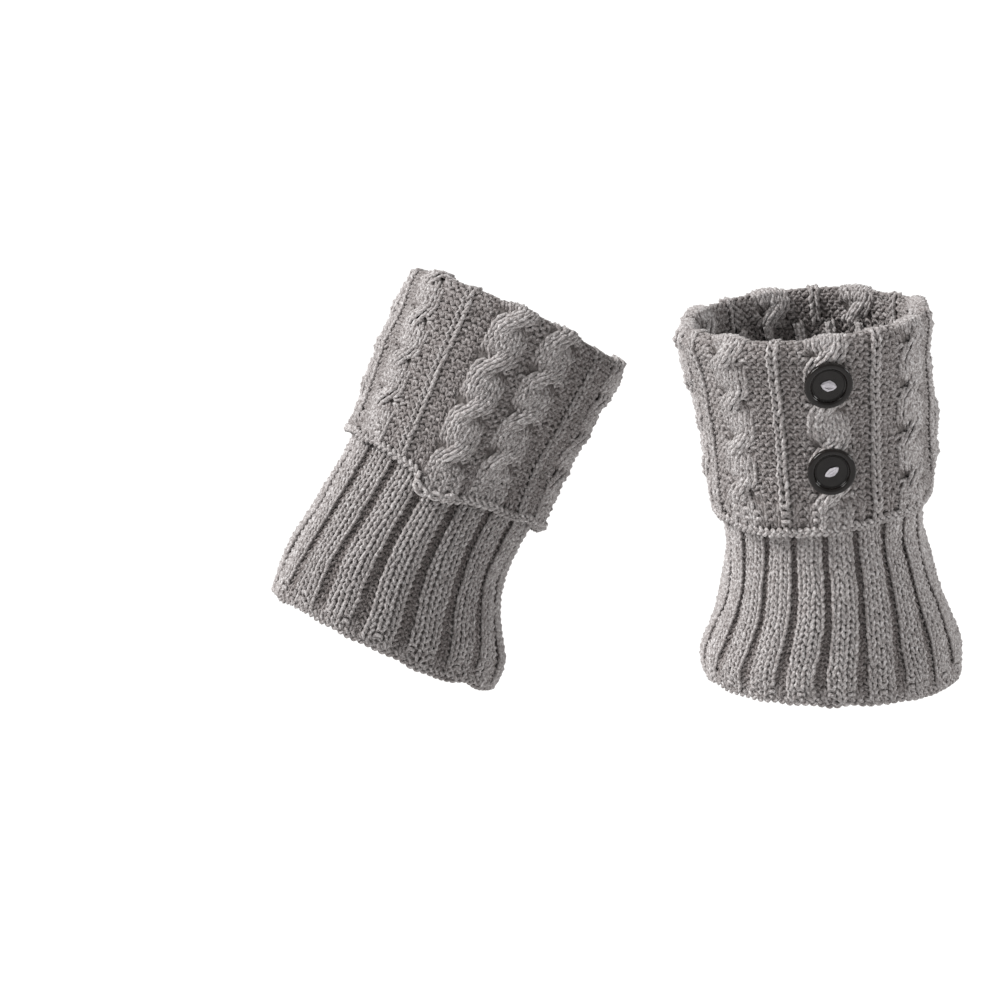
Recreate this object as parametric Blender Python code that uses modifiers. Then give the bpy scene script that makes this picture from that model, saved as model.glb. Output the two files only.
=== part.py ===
"""A pair of knitted boot cuffs, as they sit on the ankles of someone taking a step.

Each cuff is one knitted tube. Its ribbed part runs from the hem at the foot up to a fold, and the
cable-knit part is turned down outside it as a deep band that carries two sewn-on buttons.
Here the ribbed part and the band are two closed cloth walls, end to end just under the fold.

World: metres, +Z up, the wearer faces -Y and the wearer's left is +X. The origin is the waist of the
left cuff, its narrowest section, on the axis of the leg.
Sizes below are in millimetres. An azimuth is in degrees, from 0 at the front (-Y) towards +X.
"""

import math

import bmesh
import bpy
from mathutils import Matrix, Vector

MM = 0.001
GAP = 0.3  # kept between pieces that touch

# The knitting
RIBS = 20  # round the ribbed part, each three knit wales and two purl ones
RIB_POINTS = [(0.1, 1.0), (0.5, 1.0), (0.8, -1.0)]  # share of a rib and its groove, and side
RIB_WALL = 2.6
RIB_RELIEF = 0.7  # a rib stands this far out of the mean surface, and a groove this far in
BAND_WALL = 3.0
CABLE_RELIEF = 1.1
CABLE_POINTS = [(0.0, 0.0), (0.27, 1.0), (0.73, 1.0), (1.0, 0.0)]  # share of its width, and relief
LINE_RELIEF = 0.4
RELIEF_START = 0.25  # share of the band's depth over which the relief grows, below the fold
SEAM_STEP = 6.0  # the band's edge is this much lower on one side of its seam
STEP_RUN = 0.11  # of a turn, over which that step dies away

# The band's stripes, from its seam round to its seam: name and relative width
SEAM_STRIPES = [("selvedge", 0.5), ("cable", 5.7), ("ground", 1.6)]
REPEAT_STRIPES = [("cable", 5.7), ("ground", 3.36), ("line", 1.2), ("ground", 3.36)]
REPEATS = 7

# The fold at the top
JOIN_HEIGHT = 90.0  # where the ribbed part meets the band, inside
FOLD_TOP = 101.0  # middle of the wall
FOLD_STEPS = 4
TWIST_START = 43.0  # the height where the stripes begin to twist

# The button
BUTTON_RADIUS = 10.3
BUTTON_DISH_RADIUS = 7.0
BUTTON_THICK = 3.4
BUTTON_FLOOR = 1.9  # thickness at the bottom of the dish
BUTTON_DISH_EDGE = 0.5  # slope between the dish's floor and the rim
BUTTON_SWELL = 0.9  # height of the rim's round top
BUTTON_EDGE = 1.2  # height where the sides meet the bevelled back
BUTTON_BACK_RADIUS = 8.4
BUTTON_SIDES = 28
RIM_STEPS = 5
HOLE_RADIUS = 0.9
HOLE_SPACING = 3.8
HOLE_SIDES = 10
HOLE_CUT = 14.0  # length of the cutter, past both faces
SLOPE_REACH = 8.0  # above and below a button, where the band's slope is taken
SLOPE_TURN = 0.01  # radians to each side of it

# Sections of the ribbed part, middle of the wall: height, half depth front to back, half width side
# to side, shift of the centre towards the back, rise of the front above the height, relief of the ribs
LEFT_RIB = [
    (-65.5, 63.0, 46.2, 1.8, 8.0, 1.0),
    (-54.0, 62.6, 46.0, 1.4, 6.0, 1.0),
    (-40.0, 56.5, 44.6, 1.4, 4.0, 1.0),
    (-26.0, 50.6, 43.0, 1.1, 2.0, 1.0),
    (-12.0, 46.8, 41.0, 0.6, 1.0, 1.0),
    (0.0, 44.6, 39.2, 0.0, 0.0, 1.0),
    (16.0, 44.8, 40.2, 0.0, 0.0, 0.5),
    (52.0, 47.6, 43.8, -0.8, 0.0, 0.0),
    (84.0, 49.2, 46.0, -5.2, 0.0, 0.0),
    (JOIN_HEIGHT - GAP, 49.2, 46.0, -5.2, 0.0, 0.0),
]
RIGHT_RIB = [
    (-64.5, 61.7, 45.6, 7.0, 0.0, 1.0),
    (-52.0, 61.5, 45.5, 5.9, 0.0, 1.0),
    (-36.0, 56.0, 44.5, 0.7, 0.0, 1.0),
    (-18.0, 50.0, 43.0, -2.2, 0.0, 1.0),
    (0.0, 47.8, 42.2, -1.4, 0.0, 1.0),
    (16.0, 47.4, 42.6, -0.4, 0.0, 0.5),
    (52.0, 49.0, 45.0, -0.7, 0.0, 0.0),
    (84.0, 50.6, 46.8, 0.4, 0.0, 0.0),
    (JOIN_HEIGHT - GAP, 50.6, 46.8, 0.4, 0.0, 0.0),
]
# Sections of the band's outer side, from under the fold to its edge: the same columns without relief
LEFT_BAND = [
    (94.0, 55.6, 52.0, -6.2, 0.0),
    (80.0, 53.2, 49.8, -4.6, 0.0),
    (60.0, 51.5, 48.0, -2.0, 0.0),
    (40.0, 50.7, 47.2, -0.6, 0.0),
    (26.0, 50.2, 46.7, 0.0, -2.0),
    (18.5, 48.6, 45.2, 0.0, -3.0),
]
RIGHT_BAND = [
    (94.0, 57.3, 53.3, 0.4, 0.0),
    (80.0, 55.4, 51.5, 0.0, 0.0),
    (60.0, 54.4, 50.6, -0.4, 0.0),
    (45.0, 52.8, 49.1, -0.7, 0.0),
    (33.0, 52.4, 48.7, 0.0, 1.0),
    (17.5, 52.6, 48.9, 0.8, 2.0),
]

# Each cuff: where its waist is, how far its top leans to the back (degrees), its seam's azimuth, the
# cable that carries the buttons, counted from the seam, how far hem and edge droop at an azimuth, and
# how far the stripes twist round (degrees) between the middle of the band and the fold
CUFFS = {
    "left": dict(
        waist=(0.0, 0.0, 0.0),
        lean=-5.0,
        rib=LEFT_RIB,
        band=LEFT_BAND,
        seam=-72.0,
        button_cable=2,
        button_heights=(82.5, 43.0),
        droop_azimuth=75.0,
        hem_droop=3.5,
        edge_droop=3.5,
        twist=4.5,
    ),
    "right": dict(
        waist=(-155.0, -118.0, -9.5),
        lean=29.0,
        rib=RIGHT_RIB,
        band=RIGHT_BAND,
        seam=47.5,
        button_cable=4,
        button_heights=(82.5, 43.0),
        droop_azimuth=62.0,
        hem_droop=4.0,
        edge_droop=4.0,
        twist=0.0,
    ),
}

COLOURS = {  # base colour, roughness
    "grey_knit": ((0.40, 0.38, 0.37), 0.95),
    "black_plastic": ((0.03, 0.03, 0.032), 0.25),
}


def clear_scene():
    for item in list(bpy.data.objects):
        bpy.data.objects.remove(item, do_unlink=True)


def new_collection(name):
    collection = bpy.data.collections.new(name)
    bpy.context.scene.collection.children.link(collection)
    return collection


def new_material(name):
    colour, roughness = COLOURS[name]
    material = bpy.data.materials.new(name)
    material.use_nodes = True
    shader = material.node_tree.nodes["Principled BSDF"]
    shader.inputs["Base Color"].default_value = (*colour, 1.0)
    shader.inputs["Roughness"].default_value = roughness
    shader.inputs["Metallic"].default_value = 0.0
    return material


def band_stripes():
    """The band's stripes from its seam round to its seam: name, start and end in shares of a turn."""
    stripes, width = [], 0.0
    for name, size in SEAM_STRIPES + REPEATS * REPEAT_STRIPES:
        stripes.append((name, width, width + size))
        width += size
    return [(name, start / width, end / width) for name, start, end in stripes]


def band_stations():
    """Share of a turn and relief of each column of points on the band."""
    stations = []
    for name, start, end in band_stripes():
        size = end - start
        if name == "cable":
            stations += [(start + place * size, CABLE_RELIEF * rise) for place, rise in CABLE_POINTS]
        elif name == "line":
            stations.append((start + 0.5 * size, LINE_RELIEF))
        elif name == "selvedge":
            stations.append((start, 0.0))
    return stations


def rib_stations():
    """Share of a turn and relief of each column of points: two on each rib and one in each groove."""
    stations = []
    for rib in range(RIBS):
        stations += [((rib + place) / RIBS, RIB_RELIEF * side) for place, side in RIB_POINTS]
    return stations


def azimuth_at(cuff, share, height=0.0):
    """The azimuth, in radians, at a share of a turn from the seam towards +X over the front."""
    above = max(0.0, (height - TWIST_START) / (FOLD_TOP - TWIST_START))
    return math.radians(cuff["seam"] + 360.0 * share + cuff["twist"] * above)


def droop_at(cuff, azimuth):
    """1 where the cloth hangs lowest, and 0 a quarter turn or more away."""
    return max(0.0, math.cos(azimuth - math.radians(cuff["droop_azimuth"])))


def section_point(azimuth, section, out=0.0, drop=0.0):
    """A point of an elliptical section, moved out of it by out and down by drop."""
    height, depth, width, back, rise = section[:5]
    return Vector(
        (
            (width + out) * math.sin(azimuth),
            back - (depth + out) * math.cos(azimuth),
            height + rise * math.cos(azimuth) - drop,
        )
    )


def rib_rings(cuff):
    """Rings of points up the ribbed part, whose hem droops at one side."""
    rings = []
    hem = cuff["rib"][0][0]
    for section in cuff["rib"]:
        low = max(0.0, section[0] / hem)
        ring = []
        for share, relief in rib_stations():
            azimuth = azimuth_at(cuff, share)
            drop = low * cuff["hem_droop"] * droop_at(cuff, azimuth)
            ring.append(section_point(azimuth, section, relief * section[5], drop))
        rings.append(ring)
    return rings


def fold_sections(cuff):
    """Sections over the fold: an upright lip, then half a turn from the inner to the outer wall."""
    inner, outer = cuff["rib"][-1][1:5], cuff["band"][0][1:]
    spring = cuff["band"][0][0]
    sections = [(JOIN_HEIGHT, *inner), (spring, *inner)]
    for step in range(1, FOLD_STEPS):
        turn = math.pi * step / FOLD_STEPS
        share = (1.0 - math.cos(turn)) / 2.0
        across = [a + share * (b - a) for a, b in zip(inner, outer)]
        sections.append((spring + (FOLD_TOP - spring) * math.sin(turn), *across))
    return sections


def band_drop(cuff, share):
    """How far the band's edge hangs below its section: its droop, and the step beside the seam."""
    step = SEAM_STEP * max(0.0, 1.0 - share / STEP_RUN) if share > 0.0 else 0.0
    return cuff["edge_droop"] * droop_at(cuff, azimuth_at(cuff, share)) + step


def band_rings(cuff):
    """Rings of points over the fold and down the band."""
    rings = []
    for section in fold_sections(cuff):
        rings.append(
            [section_point(azimuth_at(cuff, share, section[0]), section) for share, _ in band_stations()]
        )
    top, edge = cuff["band"][0][0], cuff["band"][-1][0]
    for section in cuff["band"]:
        low = (top - section[0]) / (top - edge)
        ring = []
        for share, relief in band_stations():
            azimuth = azimuth_at(cuff, share, section[0])
            out = relief * min(1.0, low / RELIEF_START)
            ring.append(section_point(azimuth, section, out, low * band_drop(cuff, share)))
        rings.append(ring)
    return rings


def add_shell(name, rings, wall, collection, parent, material):
    """An open loft through closed rings, made into a wall with Solidify."""
    mesh = bpy.data.meshes.new(name)
    cage = bmesh.new()
    rows = [[cage.verts.new(point * MM) for point in ring] for ring in rings]
    for lower, upper in zip(rows, rows[1:]):
        for i in range(len(lower)):
            j = (i + 1) % len(lower)
            cage.faces.new((lower[i], lower[j], upper[j], upper[i]))
    cage.to_mesh(mesh)
    cage.free()
    mesh.shade_smooth()
    mesh.materials.append(material)
    shell = bpy.data.objects.new(name, mesh)
    collection.objects.link(shell)
    shell.parent = parent
    solidify = shell.modifiers.new("wall", "SOLIDIFY")
    solidify.thickness = wall * MM
    solidify.offset = 0.0
    solidify.use_even_offset = True


def band_surface(cuff, share, height):
    """A point on the middle of the band's wall on a cable's crest, and the outward normal there."""

    def point(azimuth, level):
        for upper, lower in zip(cuff["band"], cuff["band"][1:]):
            if lower[0] <= level <= upper[0]:
                part = (upper[0] - level) / (upper[0] - lower[0])
                section = [a + part * (b - a) for a, b in zip(upper, lower)]
                return section_point(azimuth, section, CABLE_RELIEF)
        raise ValueError("height is not on the band")

    azimuth = azimuth_at(cuff, share, height)
    around = point(azimuth + SLOPE_TURN, height) - point(azimuth - SLOPE_TURN, height)
    along = point(azimuth, height + SLOPE_REACH) - point(azimuth, height - SLOPE_REACH)
    return point(azimuth, height), around.cross(along).normalized()


def button_mesh(collection):
    """A turned button with a raised round rim, a dished face and two sewing holes, face to +Z."""
    rim = (BUTTON_RADIUS - BUTTON_DISH_RADIUS) / 2.0
    profile = [(0.0, BUTTON_FLOOR), (BUTTON_DISH_RADIUS - BUTTON_DISH_EDGE, BUTTON_FLOOR)]
    for step in range(RIM_STEPS + 1):
        turn = math.pi * (1.0 - step / RIM_STEPS)
        profile.append(
            (
                BUTTON_RADIUS - rim + rim * math.cos(turn),
                BUTTON_THICK - BUTTON_SWELL + BUTTON_SWELL * math.sin(turn),
            )
        )
    profile += [(BUTTON_RADIUS, BUTTON_EDGE), (BUTTON_BACK_RADIUS, 0.0), (0.0, 0.0)]
    mesh = bpy.data.meshes.new("button_profile")
    mesh.from_pydata(
        [(x * MM, 0.0, z * MM) for x, z in profile], [(i, i + 1) for i in range(len(profile) - 1)], []
    )
    blank = bpy.data.objects.new("button_blank", mesh)
    collection.objects.link(blank)
    screw = blank.modifiers.new("turn", "SCREW")
    screw.steps = screw.render_steps = BUTTON_SIDES
    screw.use_merge_vertices = True
    screw.merge_threshold = 0.0001
    for side in (-1, 1):
        cut = blank.modifiers.new("hole", "BOOLEAN")
        cut.operation = "DIFFERENCE"
        cut.object = hole_cutter(side * HOLE_SPACING / 2.0, collection)
    bpy.context.view_layer.update()
    finished = bpy.data.meshes.new_from_object(blank.evaluated_get(bpy.context.evaluated_depsgraph_get()))
    bpy.data.objects.remove(blank, do_unlink=True)
    finished.shade_smooth()
    finished.set_sharp_from_angle(angle=math.radians(40))
    return finished


def hole_cutter(x, collection):
    mesh = bpy.data.meshes.new("hole")
    body = bmesh.new()
    bmesh.ops.create_cone(
        body,
        cap_ends=True,
        segments=HOLE_SIDES,
        radius1=HOLE_RADIUS * MM,
        radius2=HOLE_RADIUS * MM,
        depth=HOLE_CUT * MM,
        matrix=Matrix.Translation((x * MM, 0.0, 0.0)),
    )
    body.to_mesh(mesh)
    body.free()
    cutter = bpy.data.objects.new("hole", mesh)
    collection.objects.link(cutter)
    cutter.hide_render = True
    cutter.display_type = "WIRE"
    return cutter


def add_buttons(side, cuff, mesh, collection, parent):
    """Two buttons, one above the other on a cable, just clear of it, holes side by side."""
    cables = [(start + end) / 2.0 for name, start, end in band_stripes() if name == "cable"]
    share = cables[1 + cuff["button_cable"]]  # the first cable belongs to the seam's stripes
    for place, height in zip(("upper", "lower"), cuff["button_heights"]):
        point, out = band_surface(cuff, share, height)
        across = Vector((0.0, 0.0, 1.0)).cross(out).normalized()
        frame = Matrix((across, out.cross(across), out)).transposed().to_4x4()
        seat = point + out * (BAND_WALL / 2.0 + GAP)
        button = bpy.data.objects.new(f"{side}_{place}_button", mesh)
        collection.objects.link(button)
        button.parent = parent
        button.matrix_local = Matrix.Translation(seat * MM) @ frame


def add_cuff(side, cuff, collection, knit, button):
    frame = bpy.data.objects.new(f"{side}_cuff", None)
    collection.objects.link(frame)
    frame.location = Vector(cuff["waist"]) * MM
    frame.rotation_euler = (-math.radians(cuff["lean"]), 0.0, 0.0)
    add_shell(f"{side}_rib_tube", rib_rings(cuff), RIB_WALL, collection, frame, knit)
    add_shell(f"{side}_cable_band", band_rings(cuff), BAND_WALL, collection, frame, knit)
    add_buttons(side, cuff, button, collection, frame)


def main():
    clear_scene()
    parts = new_collection("knitted_boot_cuffs")
    cutters = new_collection("cutters")
    knit = new_material("grey_knit")
    button = button_mesh(cutters)
    button.materials.append(new_material("black_plastic"))
    for side, cuff in CUFFS.items():
        add_cuff(side, cuff, parts, knit, button)


main()
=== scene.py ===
"""A pair of knitted boot cuffs, knitted stitch by stitch on the shapes of the CAD frame.

Each cuff is a ribbed tube whose top is turned down outside it as a cable-knit band. Every course of
the knitting is one closed strand of yarn, looped through the next, on a thin backing painted dark
as the shade seen between stitches.

Row frame: metres, +Z up, the wearer faces -Y and the wearer's left is +X. Sizes below are in
millimetres, in the frame of each cuff: its waist at the origin and its axis up. A share is a part
of a turn, from the cuff's seam towards +X over the front. A course is one row of stitches and a
wale is one column of them. The letter v counts courses from the lower edge.
"""

import math

import bmesh
import bpy
import numpy as np
from mathutils import Matrix, Vector

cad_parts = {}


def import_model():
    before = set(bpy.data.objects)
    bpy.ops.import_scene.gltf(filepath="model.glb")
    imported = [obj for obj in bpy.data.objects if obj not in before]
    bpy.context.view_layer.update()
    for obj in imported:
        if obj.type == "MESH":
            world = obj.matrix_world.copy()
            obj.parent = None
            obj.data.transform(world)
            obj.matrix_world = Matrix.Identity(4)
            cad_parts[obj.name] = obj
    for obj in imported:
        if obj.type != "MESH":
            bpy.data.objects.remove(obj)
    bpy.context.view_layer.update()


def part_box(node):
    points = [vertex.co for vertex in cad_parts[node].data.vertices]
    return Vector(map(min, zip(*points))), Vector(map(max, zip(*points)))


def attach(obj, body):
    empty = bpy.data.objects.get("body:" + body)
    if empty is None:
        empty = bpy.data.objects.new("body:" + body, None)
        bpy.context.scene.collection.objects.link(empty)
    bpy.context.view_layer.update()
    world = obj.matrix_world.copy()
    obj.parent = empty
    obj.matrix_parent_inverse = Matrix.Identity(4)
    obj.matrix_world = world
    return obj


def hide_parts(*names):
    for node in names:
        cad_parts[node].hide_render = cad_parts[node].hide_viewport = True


MM = 0.001

# --- The cloth's shape, as in the frame ---
# Sections, middle of the wall: height, half depth front to back, half width side to side, shift of
# the centre towards the back, rise of the front above the height
JOIN_HEIGHT = 90.0
LEFT_RIB = [
    (-65.5, 63.0, 46.2, 1.8, 8.0),
    (-54.0, 62.6, 46.0, 1.4, 6.0),
    (-40.0, 56.5, 44.6, 1.4, 4.0),
    (-26.0, 50.6, 43.0, 1.1, 2.0),
    (-12.0, 46.8, 41.0, 0.6, 1.0),
    (0.0, 44.6, 39.2, 0.0, 0.0),
    (16.0, 44.8, 40.2, 0.0, 0.0),
    (52.0, 47.6, 43.8, -0.8, 0.0),
    (84.0, 49.2, 46.0, -5.2, 0.0),
    (JOIN_HEIGHT, 49.2, 46.0, -5.2, 0.0),
]
RIGHT_RIB = [
    (-64.5, 61.7, 45.6, 7.0, 0.0),
    (-52.0, 61.5, 45.5, 5.9, 0.0),
    (-36.0, 56.0, 44.5, 0.7, 0.0),
    (-18.0, 50.0, 43.0, -2.2, 0.0),
    (0.0, 47.8, 42.2, -1.4, 0.0),
    (16.0, 47.4, 42.6, -0.4, 0.0),
    (52.0, 49.0, 45.0, -0.7, 0.0),
    (84.0, 50.6, 46.8, 0.4, 0.0),
    (JOIN_HEIGHT, 50.6, 46.8, 0.4, 0.0),
]
LEFT_BAND = [
    (94.0, 55.6, 52.0, -6.2, 0.0),
    (80.0, 53.2, 49.8, -4.6, 0.0),
    (60.0, 51.5, 48.0, -2.0, 0.0),
    (40.0, 50.7, 47.2, -0.6, 0.0),
    (26.0, 50.2, 46.7, 0.0, -2.0),
    (18.5, 48.6, 45.2, 0.0, -3.0),
]
RIGHT_BAND = [
    (94.0, 57.3, 53.3, 0.4, 0.0),
    (80.0, 55.4, 51.5, 0.0, 0.0),
    (60.0, 54.4, 50.6, -0.4, 0.0),
    (45.0, 52.8, 49.1, -0.7, 0.0),
    (33.0, 52.4, 48.7, 0.0, 1.0),
    (17.5, 52.6, 48.9, 0.8, 2.0),
]
FOLD_SPRING = 94.0  # where the fold's half turn starts
FOLD_TOP = 101.0
INNER_REACH = 8.0  # of the band's inner end below the join
TWIST_START = 43.0  # height over which the cuff's twist grows
SEAM_STEP = 8.5  # the corner of the band hangs this much lower on one side of its seam
STEP_FLAT = 0.03  # of a turn, before that step starts to die away
STEP_RUN = 0.085  # of a turn, over which it does
SEAM_DIP = 3.0  # the edge dips this much on the other side
DIP_RUN = 0.035  # of a turn, over which the dip dies away

# How finely each stretch of a wall is measured, and the small steps that give its normals
RIB_SECTIONS = 120
BAND_SECTIONS = 80
FOLD_SECTIONS = 26
INNER_SECTIONS = 8
NORMAL_TURN = 0.002
NORMAL_STEP = 0.8

# Each cuff: its waist in the row frame and its lean; the azimuths of its seam, of its lowest hem
# and of one groove between ribs; the cable that carries its buttons, and each one's height, turn
# and width of thread; how far its edges droop; its twist; the course of its lowest crossing, and
# how far that climbs round the cuff; and how unevenly its ribs are spaced. Angles are in degrees.
CUFFS = {
    "left": dict(
        waist=(0.0, 0.0, 0.0),
        lean=-5.0,
        rib=LEFT_RIB,
        band=LEFT_BAND,
        seam=-72.0,
        button_cable=2,
        buttons=(("upper", 82.5, -12.0, 2.3), ("lower", 43.0, 30.0, 1.4)),
        droop_azimuth=75.0,
        droop=3.5,
        twist=4.5,
        crossing=3.5,
        climb=0.5,
        groove=55.0,
        gather=0.0,
        seed=11,
    ),
    "right": dict(
        waist=(-155.0, -118.0, -9.5),
        lean=29.0,
        rib=RIGHT_RIB,
        band=RIGHT_BAND,
        seam=47.5,
        button_cable=4,
        buttons=(("upper", 82.5, 22.0, 1.7), ("lower", 43.0, -35.0, 2.0)),
        droop_azimuth=62.0,
        droop=4.0,
        twist=0.0,
        crossing=4.5,
        climb=1.7,
        groove=50.8,
        gather=0.2,
        seed=23,
    ),
}

# --- The knitting ---
WALES = 100  # round every course
RIBS = 20  # each three knit wales and two purl ones
RIB_WALES = 5
RIB_KNIT = 3
RIB_KNIT_WIDTH = 12.4  # of the three knit wales together, where the rib isn't stretched
RIB_OPEN = 0.6  # their smallest share of a rib
RIB_OPENED = 0.61  # their share where the groove between is fully stretched
RIB_CLOSED = 0.81  # their largest share

# The band's stripes from its seam round to its seam: name, relative width and number of wales
SEAM_STRIPES = [("selvedge", 0.5, 1), ("cable", 5.7, 6), ("ground", 1.6, 2)]
REPEAT_STRIPES = [("cable", 5.7, 6), ("ground", 3.0, 3), ("line", 1.92, 1), ("ground", 3.0, 3)]
REPEATS = 7

BAND_PITCH = 3.3  # from one course to the next
RIB_PITCH = 3.05
BAND_COURSES = 30  # from the edge over the fold to just inside it
RIB_COURSES = 29  # from the hem to just above the band's edge
LINING_COURSES = 21  # from there up to the fold, seen only from inside
EDGE_COURSES = 2.4  # of one-by-one rib along the band's edge
EDGE_FADE = (0.6, 3.4)  # the courses between which the cables spread out towards the edge
HEM_COURSES = 1.5  # of one-by-one rib along the hem
FIRST_COURSE = 0.9  # of the pitch above the edge

CABLE_PERIOD = 6.0  # courses between two crossings of a cable
CABLE_REACH = 1.38  # of a strand to each side of the cable's middle, in stripe units
CROSSING_RUN = 2.1  # courses over which the strands cross, before and after its middle
CABLE_LIFT = 1.7  # of the front strand, and fall of the one behind it
CABLE_SPREAD = 0.42  # how much wider the front strand gets
CABLE_ROUND = 1.35  # how much the middle of an uncrossed cable stands over its sides
STRAND_ROUND = 1.6  # how much the middle of a strand stands over its sides where it crosses
STRAND_LEVEL = 0.4  # of that, at the middle
CABLE_SINK = 0.27  # of the whole cable
GROUND_PULL = 0.7  # how far the ground follows a cable that narrows
GROUND_RISE = 1.6  # of the ground's last wale, which a cable that narrows draws up
CLIMB_RUN = 45.0  # degrees from the droop over which the crossings climb

# Height of each kind of wale over the middle of the wall
RELIEF = {"cable": 0.1, "ground": -1.25, "line": 0.2, "selvedge": -1.4}
RIB_RELIEF = {"middle": 0.35, "side": 0.0, "purl": -2.3}
OPENED_GROOVE = 0.25  # how much of its depth a groove loses where the rib is stretched
HEM_GROOVE = 0.6  # and along the hem
HEM_RUN = 1.2  # courses over which that dies away

# The strand of yarn
YARN_RADIUS = 1.03
YARN_SAMPLES = 7  # points of the strand in each loop
YARN_SIDES = 4
LINING_SAMPLES = 6
LINING_SIDES = 3
LOOP_HALF = 0.88  # half the height of a loop, in courses
LOOP_SWAY = 0.29  # how far its legs lean, in wale widths
LOOP_DEPTH = 0.85  # how far its legs stand in front of its head
LOOP_OWN = 0.2  # of a wale, from its middle, before its relief blends into the next one's
UNEVEN = 0.12  # hand-like unevenness of the stitches, in and out
UNEVEN_SIDEWAYS = 0.192  # and along the cloth
ROUGH_GIRTH = 300.0  # of a cuff
MAP_FILL = 0.95  # of its row that the map of a strand takes

# Painted shade: how open the yarn is to the light, by its height over the middle of the wall,
# darkens its colour deep in the cloth
DEEPEST = -2.9
OPEN_LEVEL = 1.6
INNER_LEVEL = -1.6  # the same scale, turned over for the side towards the leg

# The chain of cast-off stitches along the band's edge and the hem
EDGE_LINKS = 100
EDGE_SAMPLES = 7  # points of a strand to each link
EDGE_SIDES = 4
EDGE_RADIUS = 0.95
EDGE_TWIST = 0.65  # radius of each strand's coil
EDGE_SPREAD = 0.85  # of its two strands to each side of its middle
EDGE_WAVER = 0.7
WAVER_LINKS = 5  # length of one waver
BAND_EDGE = (0.3, 0.5)  # its middle along the cloth, and its height over it
HEM_EDGE = (0.6, -0.5)
WAVER_LIFT = 0.4  # of the waver in and out, as a share of the one along the cloth

# The knot at the seam's foot, loop by loop: share of a turn from the seam, place along the cloth,
# height over it, half width and half height, and lean in degrees
KNOT_SAMPLES = 28
KNOT_SIDES = 6
KNOT_LIFT = 0.5  # of a loop's ends over its middle
KNOT_LOOPS = [
    (0.012, -0.6, 1.5, 2.8, 1.5, -8.0),
    (0.032, 0.0, 1.4, 2.5, 1.3, 12.0),
    (0.051, 0.8, 1.2, 2.3, 1.2, 18.0),
    (0.004, 0.9, 2.2, 1.3, 1.6, 35.0),
]

# Buttons, in their own frame: back at zero, face to +Z, sewing holes side by side
BUTTON_RADIUS = 10.3
BUTTON_THICK = 3.4
BUTTON_FLOOR = 1.9  # thickness at the bottom of the dish
BUTTON_DISH = 7.7  # radius of the dish at the foot of the rim
BUTTON_STEP = 7.0  # radius of the fine groove round the dish's floor
GROOVE_HALF = 0.3  # half that groove's width
GROOVE_DEPTH = 0.22
DISH_LIP = 0.06  # rise of the dish's floor beyond the groove
BUTTON_SWELL = 0.9  # height of the rim's round top
BUTTON_EDGE = 1.2  # height where the side meets the bevelled back
BUTTON_BACK = 8.4
BUTTON_TURN = 0.01  # share of a turn to each side over which the cloth gives its tilt
BUTTON_SIDES = 64
RIM_STEPS = 12
HOLE_RADIUS = 0.9
HOLE_SIDES = 20
HOLE_SPACING = 3.8
SHARP_ANGLE = 50.0
PRESS_GAP = 1.3  # from the yarn's middle to the button's back
PRESS_SLOPE = 0.75  # of the yarn's rise round the button

# Sewing thread over each button
THREAD_RADIUS = 0.36
THREAD_SIDES = 6
THREAD_STRANDS = 7
THREAD_SAMPLES = 28
THREAD_REACH = 2.3  # of the strands past the middle of a hole, on the dish
THREAD_RISE = 1.0
THREAD_CROWN = (1.25, 0.5)  # shares of that rise in the middle strand, and lost by the outer ones
THREAD_DEPTH = 2.9
THREAD_SINK = 0.2
THREAD_UNEVEN = (0.3, 0.3, 0.25)  # of a strand's reach, rise and side
THREAD_TAPER = 2.2  # the higher, the blunter the ends of the lozenge

# Swells of the worn cloth: how many in a turn, height of one, size and start
SWELLS = [
    (2, 140.0, 0.4, 0.1),
    (3, -75.0, 0.35, 0.45),
    (5, 52.0, 0.3, 0.7),
    (8, -34.0, 0.25, 0.2),
]

# Backing behind the yarn, its colour painted shade that shows in the gaps between stitches
BACKING_WALL = 0.5
BACKING_DEPTH = -0.55  # its middle, behind the middle of the yarn
BACKING_COLUMNS = 100
BACKING_START = 0.5  # of its lower edge above the yarn's
BAND_BACKING_ROWS = 34
RIB_BACKING_ROWS = 40
LINING_BACKING = 1.4  # its middle where the yarn is seen from inside only
LINING_FLATTER = 0.7  # how much of the ribs' relief it loses there
CABLE_BACKING = 0.5  # how much deeper it lies behind a cable

# The camera, on the axis of the left cuff's waist
VIEW_AZIMUTH = 60.0
VIEW_ELEVATION = 14.0
VIEW_DISTANCE = 1.15
VIEW_LENS = 92.0
VIEW_LEFT = 0.146  # the picture's middle is this far to the left of that waist, in metres
VIEW_UP = 0.0135  # and this far above it

# The studio, in metres
FLOOR_HALF = 30.0
FLOOR_LEVEL = -0.5
WORLD_LIGHT = 0.41
KEY_COLOUR = (1.0, 0.99, 0.985)
PAIR_MIDDLE = Vector((-0.075, -0.06, 0.0))


# --- Surfaces ---
def cos_sin(degrees):
    """The cosine and the sine of an angle in degrees."""
    turn = math.radians(degrees)
    return math.cos(turn), math.sin(turn)


def unit(vectors):
    """Vectors along the last axis, made one long."""
    return vectors / np.linalg.norm(vectors, axis=-1, keepdims=True)


def smooth_step(t):
    """0 up to 0, 1 from 1 on, and a smooth rise between them."""
    t = np.clip(t, 0.0, 1.0)
    return t * t * (3.0 - 2.0 * t)


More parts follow.
